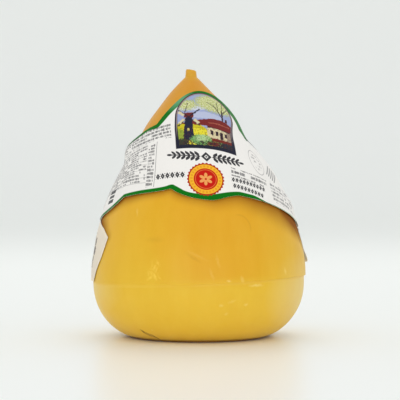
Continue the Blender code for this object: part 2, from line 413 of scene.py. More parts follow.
# Amber at the top and golden below, with painted light making the lowest few millimetres lighter, and a warmer
# patch in front
base = start.made("ShaderNodeValToRGB", {"stops": (
    (0.0, colour(255, 208, 70)),
    (0.05, colour(246, 200, 60)),
    (0.2, colour(234, 190, 48)),
    (0.5, colour(230, 174, 28)),
    (0.74, colour(216, 150, 30)),
    (0.95, colour(214, 146, 34)),
    (0.975, colour(218, 164, 48)))}, {0: (up + (cloud - 0.5) * 3) / TOTAL_HEIGHT})
base = base.under(oval(on_rind, (11.0, 46.0), (24.0, 27.0)).within(22.0) * above_line.within(5.0) * 0.6,
                  colour(228, 162, 22))
# Paler below the mould line, from a soft change in front to a sharp one at the sides
at_side = (girth.size() - girth * 0.08 - 50.0).within(24.0)
sunk = above_line + (12.0 - (girth.size() - 35.0).size()).within(14.0)
below_line = (0 - sunk).within(7.0) * (1 - at_side) + (0 - above_line).within(0.5) * at_side
base = base.under(below_line * 0.55, colour(238, 196, 60))
base = base.under((streaks - 0.56).within(0.4) * 0.16, colour(242, 200, 84))
base = base.under((0.44 - streaks).within(0.4) * 0.14, colour(214, 150, 20))
base = base.under((mottle - 0.5).within(0.5) * 0.08, colour(206, 140, 24))
# Painted sheen: a whitish reflection of the bright surroundings towards the sides and low down, stronger where
# the rind is seen at a slant
facing = start.made("ShaderNodeLayerWeight", sockets={"Blend": 0.5}, output=1)
sheen_paint = facing.maths("MULTIPLY_ADD", facing, 1.25, -0.62, clamp=True)
sheen_paint = sheen_paint * sheen_paint * ((0 - above_line).within(6.0) * 0.30 + 0.28) * (41 - up).within(12.0)
sheen_patches_paint = oval(on_rind, (62.0, 22.0), (20.0, 12.0)).most(oval(on_rind, (-64.0, 24.0), (12.0, 5.0)))
sheen_patches_paint = sheen_patches_paint.within(14.0) * (0 - above_line).within(1.6) * 0.42
sheen_patches_paint = sheen_patches_paint.most(oval(on_rind, (57.0, 31.0), (10.0, 5.0)).within(10.0) * 0.22)
base = base.under(sheen_paint.most(sheen_patches_paint), colour(238, 220, 158))
# Painted shade: the underside that the cheese stands on is darker brown, where the contact shadow falls
base = base.under((1.5 - up).within(1.4) * 0.9, colour(146, 70, 0))
# Painted shade: the rind is darker beside the label's lower edge and beside the strip, where their shadows
# fall, as worked out with each of them
beside_paper = start.made("ShaderNodeAttribute", {"attribute_name": "beside_paper"}, output=2)
base = base.under(beside_paper, colour(138, 74, 4))
# Pale crumbs, scrapes and specks, set out as they lie on the real one
wavering = on_rind.vector("ADD", start.made("ShaderNodeVectorMath", {"operation": "MULTIPLY_ADD"}, {
    0: on_rind.noise(0.7, 3.0, 0.6, 1), 1: (1.6, 1.6, 0.0), 2: (-0.8, -0.8, 0.0)}))
rough_crumbs = place.noise(620.0, 5.0, 0.75)
crumb_room = oval(on_rind, (-19.4, 32.6), (2.8, 5.6), -0.35).within(3.0)
crumbs = crumb_room * (mottle * 1.2 - 0.40).clamped() * 0.4
crumbs = crumbs.most((rough_crumbs + mottle * 0.6 - 0.87).within(0.10) * crumb_room * 0.4)
for first, last, wide in (
        ((-18.0, 37.4), (-17.3, 35.9), 0.7), ((-18.7, 35.2), (-19.4, 34.0), 1.1),
        ((-17.9, 33.9), (-18.4, 32.8), 0.6), ((-20.3, 32.5), (-20.5, 31.5), 0.8),
        ((-20.1, 30.9), (-22.0, 29.4), 1.0), ((-19.2, 31.6), (-18.4, 29.5), 1.1),
        ((-22.0, 32.3), (-21.9, 31.5), 0.4), ((-16.7, 30.2), (-16.4, 29.8), 0.4)):
    crumb = graze(wavering, first, last, wide).within(0.8) * (rough_crumbs * 2.4 - 0.5).clamped()
    crumbs = crumbs.most(crumb * 0.85)
base = base.under(crumbs, colour(252, 214, 84))
speck = start.made("ShaderNodeTexVoronoi", {"feature": "F1"}, {"Vector": place, "Scale": 150.0}).socket.node
speck_size, speck_tone = Reading(start.tree, speck.outputs[0]), Reading(start.tree, speck.outputs[1])
pale = (0.07 - speck_size).within(0.06) * (speck_tone.parts()[0] - 0.95).within(0.02) * 0.5
pale = pale.most((0.5 - (above_line + 0.3).size()).within(0.8) * (cloud - 0.48).within(0.1) * 0.10)
for first, last, wide, strength in (
        ((-3.2, 41.2), (2.2, 38.6), 0.6, 0.12), ((8.0, 39.3), (8.8, 35.6), 0.8, 0.14),
        ((5.2, 33.3), (6.4, 30.0), 0.9, 0.14), ((24.0, 26.7), (28.0, 26.6), 0.5, 0.62),
        ((12.9, 28.8), (13.4, 28.8), 0.4, 0.8), ((18.9, 30.2), (19.5, 28.2), 1.0, 0.28),
        ((43.2, 33.2), (43.8, 31.4), 0.9, 0.42), ((9.9, 18.2), (10.5, 18.2), 0.4, 0.55),
        ((21.2, 18.2), (21.8, 18.3), 0.4, 0.55), ((14.0, 19.6), (15.6, 20.1), 0.4, 0.34),
        ((12.3, 14.3), (12.8, 14.6), 0.4, 0.4), ((-31.8, 59.2), (-31.3, 57.6), 0.4, 0.3)):
    pale = pale.most(graze(wavering, first, last, wide + 0.3).within(0.8) * strength)
base = base.under(pale, colour(250, 222, 126))
# Darker marks, with painted shade along the faint ring of a dent and in the crease by the foot
marks_and_shade = graze(wavering, (-4.0, 40.2), (-0.2, 37.8), 1.0).within(1.0) * 0.12
marks_and_shade = marks_and_shade.most((0.3 - disc(on_rind, (19.6, 51.8), 5.6).size()).within(0.7) * (girth - 19.0).within(3.0)
                 * (up - 50.5).within(3.0) * 0.12)
marks_and_shade = marks_and_shade.most(oval(wavering, (-19.8, 46.6), (2.4, 0.7)).within(2.0) * 0.12)
for first, last, wide, strength in (
        ((-32.2, 6.0), (-31.0, 4.7), 0.7, 0.8), ((-31.2, 4.7), (-28.0, 3.8), 1.5, 0.5),
        ((-28.6, 4.0), (-26.4, 3.4), 1.1, 0.45), ((-27.0, 3.5), (-26.2, 3.0), 0.7, 0.8),
        ((-26.2, 3.0), (-25.4, 2.0), 0.5, 0.9)):
    marks_and_shade = marks_and_shade.most(graze(wavering, first, last, wide + 0.3).within(0.5) * strength)
# A painted shadow line on the right, running down from the label's right end
for first, last in (((59.0, 53.0), (63.5, 46.8)), ((62.8, 47.6), (66.0, 42.5))):
    marks_and_shade = marks_and_shade.most(graze(on_rind, first, last, 0.9).within(1.0) * 0.75)
base = base.under(marks_and_shade, colour(116, 60, 8))
feed(rind_shader, "Base Color", base)
feed(rind_shader, "Roughness", (cloud - 0.5) * 0.16 + 0.42 + pale.most(crumbs) * 0.2 + beside_paper * 0.5)
feed(rind_shader, "Coat Weight", 0.05 - beside_paper * 0.05)
grain = place.noise(900.0, 4.0, 0.6) * 0.2 + streaks * 0.5 + mottle * 0.6 + pale.most(crumbs) * 0.5 - marks_and_shade * 0.9
feed(rind_shader, "Normal", start.made("ShaderNodeBump", sockets={
    "Strength": 0.12, "Distance": 0.0006, "Height": grain}))
cheese.data.materials.append(rind)
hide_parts("cheese")
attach(cheese, "root")

# The cone label: one sheet of coated paper, die-cut with an arch at the front and a wing round each side.
# It is printed with a green border, a framed picture, an ornament, a round seal and rows of small print.
# It is glued round the cone, and the upper corner of its left wing has come away from the rind.

CONE_SINE = 0.555
CONE_POINT_OFFSET = 8.73
NOTCH_LEFT = (-16.8, 34.5)
ARCH_TOP = (5.0, 18.1)
NOTCH_RIGHT = (29.3, 35.0)
WAVE_LEFT = (-37.0, 67.4)
PEAK_LEFT = (-11.7, 71.8)
BELLY_LOW = (5.5, 78.0)
PEAK_RIGHT = (20.2, 73.4)
UPPER_ARCS = (
    ((-55.0, 23.8), (-45.0, 26.0), (-27.0, 34.5), NOTCH_LEFT),
    (NOTCH_LEFT, (-12.5, 30.4), (-5.0, 19.4), ARCH_TOP),
    (ARCH_TOP, (12.5, 16.8), (25.5, 23.2), NOTCH_RIGHT),
    (NOTCH_RIGHT, (33.0, 36.5), (45.0, 35.0), (56.9, 24.6)))
LOWER_ARCS = (
    ((-79.8, 34.6), (-70.0, 65.0), (-48.6, 70.3), WAVE_LEFT),
    (WAVE_LEFT, (-29.2, 69.9), (-20.0, 72.4), PEAK_LEFT),
    (PEAK_LEFT, (-7.6, 76.0), (-0.8, 78.0), BELLY_LOW),
    (BELLY_LOW, (9.4, 78.4), (14.8, 74.3), PEAK_RIGHT),
    (PEAK_RIGHT, (50.5, 71.4), (76.5, 63.8), (84.0, 36.3)))
RIBS = ((NOTCH_LEFT, (-33.0, 67.8)), (ARCH_TOP, BELLY_LOW), (NOTCH_RIGHT, (56.0, 65.8)))
LABEL_COLUMNS = 260
LABEL_ROWS = 84
PAPER_LIFT = 0.36
PAPER_THICKNESS = 0.14
END_SHARE = 0.035
END_ROUNDING = 0.16
LOOSE_CORNER = (-36.0, 30.0)
LOOSE_REACH = 14.0
LOOSE_OUT = 4.2
LOOSE_DROP = 2.2


def outline_of(arcs):
    """One outline from several arcs, with the shared ends kept once."""
    outline = [Vector(arcs[0][0])]
    for arc in arcs:
        outline += bezier(arc, 40)[1:]
    return np.array(outline)


def along(outline, shares):
    """Points at shares of an outline's length."""
    run = np.concatenate([[0.0], np.cumsum(np.hypot(*np.diff(outline, axis=0).T))])
    return np.stack([np.interp(shares * run[-1], run, outline[:, axis]) for axis in (0, 1)], axis=-1)


def share_of(outline, point):
    """The share of an outline's length at which it passes nearest to a point."""
    shares = np.linspace(0, 1, 801)
    return shares[np.argmin(np.hypot(*(along(outline, shares) - np.array(point)).T))]


def label_lift(x, y, azimuth):
    """How far the paper stands off the rind at a point of the flat label."""
    arch = 0.35 * ease((np.degrees(azimuth) - 40) / 26) * (1 - ease((np.hypot(x, y) - 40) / 9))
    right_hem = 0.12 * ease((x - 24) / 20) * ease((y - 58) / 10) * (1 - ease((x - 56) / 14))
    left_hem = 0.15 * ease((-28 - x) / 16) * ease((y - 55) / 12)
    right_side = 0.9 * np.exp(-((np.degrees(azimuth) - 80) / 15) ** 2 - ((np.hypot(x, y) - 80.5) / 4) ** 2)
    ripple = 0.10 * np.sin(x / 3.1 + y / 7) * np.sin(y / 5.3)
    return PAPER_LIFT + arch + right_hem + left_hem + right_side + ripple


def on_cone(flat):
    """Wrap points of the flat label round the rind, with the loose corner straight out from it."""
    x, y = flat[..., 0], flat[..., 1]
    distance = np.hypot(x, y) - CONE_POINT_OFFSET
    height = np.interp(distance, DISTANCE_DOWN, FLANK_DOWN[:, 1])
    azimuth = np.arctan2(x, y) / CONE_SINE
    loose = 1 - ease(np.hypot(x - LOOSE_CORNER[0], y - LOOSE_CORNER[1]) / LOOSE_REACH)
    out = np.stack([
        np.sin(azimuth) * LOOSE_OUT, -np.cos(azimuth) * LOOSE_OUT, 0 * azimuth - LOOSE_DROP], axis=-1)
    return rind_point(azimuth, height, label_lift(x, y, azimuth)) + out * loose[..., None]


def sheet(name, columns, rows, points, print_places):
    """A grid sheet with its points and its print's places set row by row, from the left and from the top."""
    start_fresh()
    bpy.ops.mesh.primitive_grid_add(x_subdivisions=columns, y_subdivisions=rows, size=1)
    piece = bpy.context.object
    piece.name = name
    start_at = np.empty(len(piece.data.vertices) * 3)
    piece.data.vertices.foreach_get("co", start_at)
    start_at = start_at.reshape(-1, 3)
    column = np.rint((start_at[:, 0] + 0.5) * columns).astype(int)
    row = np.rint((0.5 - start_at[:, 1]) * rows).astype(int)
    piece.data.vertices.foreach_set("co", (points[row, column] * MM).ravel())
    places = piece.data.attributes.new("print", "FLOAT_VECTOR", "POINT")
    places.data.foreach_set("vector", print_places[row, column].ravel())
    piece.data.update()
    return piece


def give_thickness(piece, thickness):
    """Paper thickness outwards, with the back and the cut edge in the second material."""
    start_fresh()
    piece.select_set(True)
    bpy.context.view_layer.objects.active = piece
    paper = piece.modifiers.new("paper", "SOLIDIFY")
    paper.thickness = thickness * MM
    paper.offset = 1.0
    paper.material_offset = 1
    paper.material_offset_rim = 1
    bpy.ops.object.modifier_apply(modifier="paper")
    bpy.ops.object.shade_smooth_by_angle(angle=math.radians(40))


upper = outline_of(UPPER_ARCS)
lower = outline_of(LOWER_ARCS)
matches = [(0.0, 0.0)] + [(share_of(upper, top), share_of(lower, low)) for top, low in RIBS] + [(1.0, 1.0)]
across = np.linspace(0, 1, LABEL_COLUMNS + 1)
top = along(upper, across)
bottom = along(lower, np.interp(across, *np.array(matches).T))
# The rows draw together near each end, which rounds the label's corners
end = np.clip(np.minimum(across, 1 - across) / END_SHARE, 0, 1)
corner = END_ROUNDING * (1 - np.sqrt(1 - (1 - end) ** 2))
down = np.linspace(0, 1, LABEL_ROWS + 1)[:, None]
share = corner + down * (1 - 2 * corner)
flat = top + (bottom - top) * share[..., None]


def border_width(point):
    """Width of the green border where it follows a point of the outline."""
    x, y = point
    if y < (58 if x > 18 else 40):
        arch = 2.9 - 0.6 * math.exp(-((x - 5) / 5) ** 2) + 1.8 * float(ease((x - 7) / 8))
        return arch - 1.3 * float(ease((-14 - x) / 8)) - 3.4 * float(ease((x - 27.5) / 3))
    belly = math.exp(-((x - 6) / 9) ** 2)
    far_left = 0.5 * float(ease((-26 - x) / 20))
    far_right = 1.45 * float(ease((x - 26) / 9)) - 0.30 * float(ease((x - 48) / 6))
    return 1.75 + 1.1 * belly + 0.5 * math.exp(-((x + 10) / 3) ** 2) - (far_left + far_right)


# How far each point lies inside the outline, counted in widths of the border there
rim = np.concatenate([flat[0], flat[:, -1], flat[-1][::-1], flat[:, 0][::-1]])
widths = np.array([border_width(point) for point in rim])
margin = np.empty(flat.shape[:2])
for row in range(LABEL_ROWS + 1):
    gap = np.hypot(*np.moveaxis(flat[row][:, None] - rim[None], -1, 0))
    nearest = np.argmin(gap, axis=1)
    margin[row] = gap[np.arange(len(nearest)), nearest] / widths[nearest]
print_places = np.concatenate([flat, margin[..., None]], axis=-1)
label = sheet("cone_label", LABEL_COLUMNS, LABEL_ROWS, on_cone(flat), print_places)

# Painted shade on the rind along the label's lower edge, where the label's shadow falls: the edge's sideways
# place, then strength, reach and fall
HEM_SHADE = np.array((
    (-64.0, 0.95, 6.0, 1.0), (-58.0, 0.90, 5.0, 1.2), (-52.0, 0.70, 4.0, 1.6), (-47.0, 0.85, 4.2, 2.0),
    (-41.0, 0.95, 5.0, 1.9), (-37.0, 0.95, 7.0, 1.8), (-32.0, 0.95, 6.0, 1.8), (-24.0, 0.80, 4.8, 1.9),
    (-15.0, 0.75, 4.8, 1.9), (2.0, 0.52, 5.0, 1.6), (17.0, 0.78, 8.5, 1.9), (27.0, 0.90, 10.5, 1.7),
    (35.0, 0.90, 11.0, 1.5), (43.0, 0.86, 11.5, 1.3), (48.0, 1.20, 11.0, 1.3), (54.0, 1.45, 11.5, 1.1)))
DARKEST_SHADE = 0.95


def shade_beside(gap, edge_at, tones):
    """How much painted shade each place on the rind gets, from its gaps to the points of a paper edge."""
    nearest = np.argmin(gap, axis=1)
    strength, reach, fall = (np.interp(edge_at[nearest], tones[:, 0], tones[:, part]) for part in (1, 2, 3))
    left_over = np.clip(1 - gap[np.arange(len(nearest)), nearest] / reach, 0, 1)
    return np.minimum(strength * left_over ** fall, DARKEST_SHADE)


# The painted shade that the label's shadow leaves on the rind, worked out vertex by vertex
polar = np.interp(heights, FLANK[:, 1], DISTANCE_DOWN[::-1]) + CONE_POINT_OFFSET
on_flat = np.stack([polar * np.sin(azimuths * CONE_SINE), polar * np.cos(azimuths * CONE_SINE)], axis=-1)
paper_shade_amount = np.zeros(len(heights))
near = np.flatnonzero((heights > 40) & (heights < 85))
hem = along(lower, np.linspace(0, 1, 1000))
for some in np.array_split(near, 60):
    gap = np.hypot(*np.moveaxis(on_flat[some][:, None] - hem[None], -1, 0))
    paper_shade_amount[some] = shade_beside(gap, hem[:, 0], HEM_SHADE)

WHITE = colour(243, 239, 232)
INK = colour(20, 22, 30)
GREY_INK = colour(66, 64, 68)
GREEN = colour(0, 112, 14)
EDGE_SOFT = 0.09

printed, print_shader, start = new_material("label_print", Metallic=0.0, IOR=1.5, Specular_IOR_Level=0.09)
x, y, edge = start.made("ShaderNodeAttribute", {"attribute_name": "print"}, output=1).parts()
spot = flat_place(x, y)
cloud = spot.noise(0.55, 3.0)
# The border's green has a painted highlight at the upper left, and thins to a grey line and a pale one on the
# right
green = plain(start, GREEN)
green = green.under(oval(spot, (-6.5, 22.5), (6.0, 5.0), 2.4).within(5.0) * 0.55, colour(126, 190, 150))
grey_line = (x - 28.5).within(2.5) * (58.0 - x).within(6.0) * (60.0 - y).within(4.0)
green = green.under(grey_line, colour(78, 88, 80))
green = green.under((x - 46.0).within(6.0) * (y - 54.0).within(4.0) * 0.8, colour(206, 224, 190))
page = plain(start, WHITE).under((1 - edge).within(0.12), green)

# Arched picture of a mill and a farmhouse, painted loosely
PANEL_X, SPRING_Y, PANEL_R = 5.9, 33.0, 13.5
BASE_Y = 51.9
foot = BASE_Y - y + (x - PANEL_X) * 0.035
post = (PANEL_R - (x - PANEL_X + (y - SPRING_Y) * 0.018).size()).least(y - SPRING_Y).least(foot)
panel = disc(spot, (PANEL_X, SPRING_Y), PANEL_R).most(post)
page = page.under(panel.within(EDGE_SOFT), colour(74, 52, 60))
page = page.under(panel.least(y - 32.0).within(0.4), colour(34, 36, 52))
frame_line = (0.16 - (panel - 0.78).size()).within(0.12) * (42.0 - y).within(8.0) * 0.75
page = page.under(frame_line, colour(196, 172, 168))
blur = 0.28
wobble = spot.noise(1.3, 2.0, 0.5, 1)
wobble_a, wobble_b, _ = wobble.parts()
painted = spot.made("ShaderNodeVectorMath", {"operation": "MULTIPLY_ADD"}, {
    0: wobble, 1: (1.1, 1.1, 0.0), 2: spot.vector("SUBTRACT", (0.55, 0.55, 0.0))})
paint_x, paint_y, _ = painted.parts()
leafy = spot.noise(1.7, 3.0, 0.7)
crown = oval(painted, (10.4, 25.6), (9.6, 5.2)).most(oval(painted, (-2.4, 27.6), (4.2, 3.0)))
crown = crown + (leafy - 0.5) * 9
trunk = stroke(painted, (14.1, 41.0), (13.2, 28.5), 0.8)
for first, last, wide in (((13.4, 33.0), (9.2, 26.2), 0.42), ((13.2, 30.4), (16.6, 25.4), 0.4),
                          ((11.2, 29.6), (11.0, 23.6), 0.3), ((9.9, 27.4), (6.2, 25.4), 0.3),
                          ((13.2, 29.0), (13.9, 23.4), 0.3), ((-3.4, 32.0), (-2.2, 26.4), 0.34)):
    trunk = trunk.most(stroke(painted, first, last, wide))
windows = box(painted, (8.6, 42.4), (1.3, 2.3)).most(box(painted, (10.9, 42.4), (1.3, 2.3))).most(
    box(painted, (15.3, 42.4), (1.2, 2.3))).most(box(painted, (13.1, 43.2), (1.5, 4.2)))
sails = stroke(painted, (-6.6, 30.2), (3.4, 39.4), 0.6).most(stroke(painted, (-6.2, 39.2), (3.0, 30.2), 0.6))
canvas = box(painted, (-5.0, 32.5), (3.0, 1.3), 0.78).most(box(painted, (1.8, 37.1), (3.0, 1.3), 0.78)).most(
    box(painted, (-4.7, 36.8), (3.0, 1.3), -0.78))
mill = (1.9 - (paint_x + 1.6).size() + (paint_y - 40.0) * 0.09).least(6.8 - (paint_y - 40.6).size())
cap = (paint_y - 32.2).least(2.1 - (paint_x + 1.6).size()).least(34.9 - paint_y)
roof = (2.7 - (paint_y - 37.2).size() - (paint_x - 12.2).size() * 0.10).least(
    (paint_y - 35.6) * 1.4 + 2.0 - (paint_x - 12.2).size() * 0.3)
picture = plain(start, colour(158, 168, 206))
for shape, tone in (
        (oval(painted, (-0.5, 29.5), (6.0, 1.6)), colour(206, 210, 224)),
        (oval(painted, (4.5, 33.4), (9.0, 1.8)), colour(186, 192, 216)),
        (oval(painted, (-3.0, 47.0), (12.0, 9.5)), colour(206, 192, 40)),
        (oval(painted, (1.5, 48.4), (9.0, 7.6)) + (leafy - 0.5) * 3, colour(232, 218, 58)),
        (oval(painted, (-7.0, 45.0), (4.5, 4.5)), colour(150, 168, 60)),
        (oval(painted, (15.0, 52.0), (14.0, 10.0)), colour(110, 140, 70)),
        (crown, colour(204, 206, 148)),
        (crown.least((leafy - 0.53) * 6), colour(170, 180, 96)),
        (crown.least((0.44 - leafy) * 6), colour(230, 228, 182)),
        (trunk, colour(58, 42, 48)),
        (box(painted, (12.0, 42.4), (11.0, 6.4)), colour(222, 208, 166)),
        (box(painted, (16.8, 42.4), (2.4, 6.4)), colour(160, 138, 118)),
        (box(painted, (12.0, 39.6), (11.2, 0.9)), colour(70, 40, 46)),
        (windows, colour(50, 38, 48)),
        (roof, colour(124, 44, 42)),
        (stroke(painted, (7.0, 37.4), (17.4, 36.8), 0.45), colour(170, 92, 72)),
        (box(painted, (12.2, 46.4), (12.6, 1.9)), colour(122, 44, 34)),
        (box(painted, (15.4, 33.8), (1.1, 2.0)), colour(84, 40, 42)),
        (mill, colour(38, 40, 60)),
        (cap, colour(112, 44, 42)),
        (sails, colour(44, 40, 54)),
        (canvas, colour(218, 204, 164)),
        (box(painted, (-1.7, 41.4), (0.8, 1.4)), colour(214, 196, 110)),
        (oval(painted, (3.6, 47.0), (4.8, 3.0)) + (leafy - 0.5) * 4, colour(120, 172, 98)),
        (oval(painted, (4.2, 46.2), (3.2, 1.8)) + (leafy - 0.5) * 4, colour(178, 208, 146)),
        (oval(painted, (-5.2, 48.2), (3.8, 2.2)) + (leafy - 0.5) * 4, colour(60, 66, 48)),
        (oval(painted, (9.2, 49.0), (3.4, 1.5)) + (leafy - 0.5) * 4, colour(110, 48, 40)),
        (oval(painted, (15.5, 49.2), (3.8, 2.2)) + (leafy - 0.5) * 3, colour(44, 50, 60)),
        ((leafy * 0.7 + cloud * 0.5 - 0.74) * 4 + (paint_y - 44.0) * 0.10, colour(52, 42, 46)),
        (y - 50.2 - (cloud - 0.5) * 1.4 - (x - PANEL_X) * 0.03, colour(34, 34, 50))):
    picture = picture.under(shape.within(blur), tone)
picture = picture.under((wobble_a - 0.57).within(0.05) * (paint_y - 40.0).within(1.0) * 0.5, colour(96, 50, 40))
picture = picture.under((wobble_b - 0.56).within(0.04) * box(spot, (2.5, 50.3), (12.0, 0.9)).within(0.2),
                        colour(222, 188, 70))
inner = (panel - 1.05).least(foot - 1.9).least((panel - 1.05 - (y - 34.0) * 0.035).most(33.0 - y))
page = page.under(inner.within(EDGE_SOFT), picture)

# Ornament: a laurel branch to each side of a lozenge, on a shallow arc
ORNAMENT_X = 4.9
ORNAMENT_HALF = 15.9
LEAF_PITCH = 2.05
arc_y = y - 56.55 + (x - 10.5) * (x - 10.5) * 0.00485
out = (x - ORNAMENT_X).size()
leaf_turn = (out - 2.9) / LEAF_PITCH
along_leaf = (leaf_turn.maths("FRACT", leaf_turn) - 0.5) * LEAF_PITCH
shrink = 1.15 - out * 0.022
leaf_place = flat_place(along_leaf / shrink, arc_y.size() / shrink)
laurel = oval(leaf_place, (0.1, 1.3), (1.65, 0.66), 0.78).least(15.2 - out).least(out - 3.0)
laurel = laurel.most((0.28 - arc_y.size()).least(ORNAMENT_HALF - out).least(out - 2.6))
laurel = laurel.most(oval(flat_place(out, arc_y), (16.2, 0.0), (1.2, 0.62)))
lozenge = 2.6 - out * 1.15 - arc_y.size()
laurel = laurel.most(lozenge.least(1.5 - lozenge)).most(lozenge - 2.0)
page = page.under(laurel.within(0.14) * 0.96, INK)

# Round seal with a flower
SEAL = (3.9, 67.9)
seal = disc(spot, SEAL, 8.1)
around = x.maths("ARCTAN2", y - SEAL[1], x - SEAL[0])
page = page.under((seal + (around * 30 + 1.57).sine() * 0.24).within(EDGE_SOFT), colour(176, 44, 18))
page = page.under((seal - 0.75).within(EDGE_SOFT), colour(246, 184, 44))
beads = (around * 26).sine().within(1.2) * (0.5 - (seal - 1.75).size()).within(0.25)
page = page.under(beads * 0.55, colour(222, 120, 30))
page = page.under((seal - 2.75).within(EDGE_SOFT), colour(200, 26, 10))
page = page.under((0.12 - (seal - 3.5).size()).within(0.15) * 0.6, colour(244, 160, 80))
petals = (around * 3).sine().size()
page = page.under((seal - 7.0 + petals * 2.0).least(7.6 - seal).within(0.25) * 0.85, colour(246, 176, 96))


def chance(at, seed, output=0):
    """An unchanging random number, or three as a colour, for each whole place."""
    return at.made("ShaderNodeTexWhiteNoise", {"noise_dimensions": "3D"}, {
        "Vector": at.vector("ADD", (0.0, 0.0, seed))}, output)


def small_print(at, pitch, tall, cell, seed, fill=0.8):
    """Rows of fine upright strokes that stand for small print and spell nothing."""
    steps = at.vector("DIVIDE", (cell, pitch, 1.0))
    whole = steps.vector("FLOOR")
    along_it, down_it, _ = steps.vector("FRACTION").parts()
    present, rise, wide = chance(whole, seed, 1).parts()
    word = chance(whole.vector("DIVIDE", (6.0, 1.0, 1.0)).vector("FLOOR"), seed + 40.0)
    height = (rise * 0.25 + 0.30) * (tall / pitch) - (down_it - 0.5).size()
    width = wide * 0.45 + 0.18 - (along_it - 0.5).size()
    return height.within(0.12) * width.within(0.3) * (fill - present).within(0.1) * (0.86 - word).within(0.1)


# Small print and the ruled table on the left wing, whose rows turn downhill towards the foot
tilt = ((y - 42) / 16).clamped() * 0.27 + 0.04
bow = (1 - ((y - 36) / 10).clamped()) * 0.0085
wing_y = y - tilt * (x + 10) + bow * (x + 10) * (x + 10)
rule_x = x + 16.8 + (y - 45.2) * 0.135
wing = flat_place(x, wing_y)
rows = small_print(wing, 1.75, 1.35, 0.42, 1.0, 0.86)
intro = rows * (44.4 - wing_y).least(-9.6 - x).least(wing_y - 37.0).within(0.3)
row_end = chance(flat_place(x * 0.0, (wing_y / 1.75).maths("FLOOR", wing_y / 1.75)), 5.0) * 20 - 36
body = (wing_y - 45.0).least(-5.2 - rule_x).least(69.4 - wing_y).least((row_end - x).most(57.0 - wing_y))
text = intro.most(rows * body.within(0.4))
numbers = small_print(flat_place(x * 0.8, wing_y + 0.4), 1.95, 1.5, 0.45, 11.0, 0.9)
text = text.most(numbers * (-0.9 - rule_x).least(rule_x + 4.4).least(y - 45.6).least(68.0 - y).within(0.3))
rule = (0.12 - rule_x.size()).least(y - 44.8).least(69.0 - y).within(0.1)
for line_y, reach in ((53.4, 11.0), (59.0, 15.0), (62.6, 22.0), (67.0, 30.0), (69.8, 32.0)):
    line = (0.09 - (wing_y - line_y).size()).least(-4.6 - rule_x).least(rule_x + reach)
    rule = rule.most(line.within(0.1) * 0.9)
page = page.under(text.most(rule) * 0.82, GREY_INK)
emblem = box(spot, (-47.0, 60.8), (5.0, 6.6), 0.4)
slots = (0.35 - (turned(spot, (-47.0, 60.8), 0.4).parts()[1].size() - 1.1).size()).within(0.1)
page = page.under(emblem.least(1 - slots * 2).within(0.15) * 0.9, INK)


def heavy_row(along_it, down_it, first_x, last_x, tall, pitch):
    """A row of heavy lozenges, each with a small hole, and dots above and below between them."""
    cell = (along_it - first_x) / pitch
    a = (cell.maths("FRACT", cell) - 0.5).size() * pitch
    down_it = down_it.size()
    sign = (tall * 0.5 - down_it - a * (tall / pitch) * 1.12).least(a + down_it - tall * 0.07)
    dots = tall * 0.09 - (down_it - tall * 0.33).size() - (pitch / 2 - a)
    return sign.most(dots).least(along_it - first_x).least(last_x - along_it).within(0.14)


heavy = heavy_row(x, y - 65.0 - (x + 12) * 0.09, -18.8, -5.2, 3.3, 2.27)
heavy = heavy.most(heavy_row(x, y - 65.9 + (x - 24) * 0.045, 15.5, 33.3, 2.6, 1.78))
heavy = heavy.most(heavy_row(x, y - 69.3 - (x - 24) * 0.01, 16.2, 32.3, 2.6, 1.79))
page = page.under(heavy * 0.94, INK)
fine_y = y - 61.2 + (24 - x).size() * 0.05 + (x - 24) * 0.02
fine = small_print(flat_place(x, fine_y), 2.3, 1.6, 0.42, 3.0, 0.9)
fine = fine * (2.25 - (fine_y - 1.25).size()).least(34.5 - x).least(x - 15.6).within(0.2)
page = page.under(fine * 0.85, GREY_INK)

# Oval mark, a hatched patch and small print on the right wing
mark = oval(spot, (30.0, 51.0), (3.7, 6.9), -0.22)
inside_mark = small_print(spot, 2.0, 1.2, 0.5, 5.0, 0.5) * (mark - 1.1).within(0.2)
page = page.under((0.12 - mark.size()).within(0.1).most(inside_mark) * 0.5, GREY_INK)
hatch = ((x + y * 0.4) * 4.4).sine().within(0.8) * box(spot, (39.5, 52.0), (6.6, 8.4), 0.35).within(0.3) * 0.8
right_y = y + (x - 38) * 0.17
right_rows = small_print(flat_place(x, right_y), 1.9, 1.35, 0.45, 9.0, 0.84)
right_rows = right_rows * box(spot, (46.5, 62.0), (18.0, 10.6), -0.2).within(0.4) * 0.85
page = page.under(hatch.most(right_rows) * 0.85, GREY_INK)
page = page.under(oval(spot, (-57.5, 58.0), (0.6, 1.2), 0.5).within(0.3) * 0.7, colour(206, 84, 50))

feed(print_shader, "Base Color", page)
feed(print_shader, "Roughness", (cloud - 0.5) * 0.12 + 0.36)
creases = start.made("ShaderNodeMapping", sockets={"Vector": spot, "Scale": (0.42, 0.07, 1.0)}).noise(1.0, 2.0)
fibre = spot.noise(5.0, 4.0, 0.6) * 0.4 + spot.noise(0.30, 2.0) * 1.8 + creases * 3.0
feed(print_shader, "Normal", start.made("ShaderNodeBump", sockets={
    "Strength": 0.18, "Distance": 0.0004, "Height": fibre}))

bare_paper, bare_shader, start = new_material(
    "bare_paper", Metallic=0.0, Roughness=0.7, Subsurface_Weight=1.0, Subsurface_Scale=0.0005)
bare_shader.inputs["Subsurface Radius"].default_value = (1.0, 0.95, 0.85)
place = start.made("ShaderNodeTexCoord", output=3)
fibre = place.noise(2500.0, 3.0)
feed(bare_shader, "Base Color", plain(start, colour(236, 233, 224)).under(fibre * 0.3, colour(214, 210, 198)))
feed(bare_shader, "Normal", start.made("ShaderNodeBump", sockets={
    "Strength": 0.2, "Distance": 0.0001, "Height": fibre}))
label.data.materials.append(printed)
label.data.materials.append(bare_paper)
give_thickness(label, PAPER_THICKNESS)
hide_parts("label")
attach(label, "root")

# The back strip: a plainer cream label stuck aslant round the back, below the cone label.
# Its left corner shows past the side, and the tip of its right end has come unstuck.

